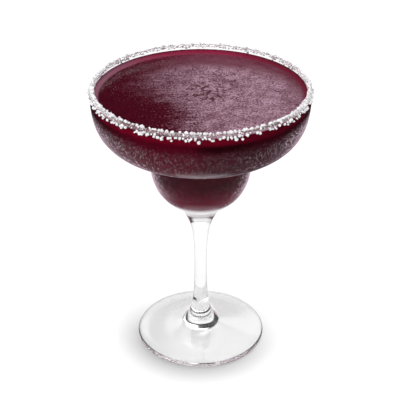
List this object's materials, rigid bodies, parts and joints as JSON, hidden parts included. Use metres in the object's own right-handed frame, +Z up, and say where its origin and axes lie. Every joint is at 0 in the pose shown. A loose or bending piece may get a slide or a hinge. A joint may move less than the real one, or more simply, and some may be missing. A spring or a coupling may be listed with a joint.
{
  "type": "frozen margarita in a stem glass",
  "caption": "Stepped margarita glass on a slender stem and conical foot, filled with dark frozen berry slush and rimmed with coarse salt.",
  "frame": {"origin": "centre of the foot's underside, on the surface the glass stands on", "axes": "+Z up along the stem's axis; the glass is round, so X and Y are any two level directions, with -Y towards the picture's viewer"},
  "size_m": [0.1195, 0.119, 0.1589],
  "materials": {
    "glass": "clear, misted on the bowl",
    "drink": "wet dark berry slush with fine ice grain",
    "salt": "coarse white crystals"
  },
  "bodies": {
    "root": {"glass": "glass", "drink": "drink", "salt_rim": "salt"}
  },
  "joints": []
}
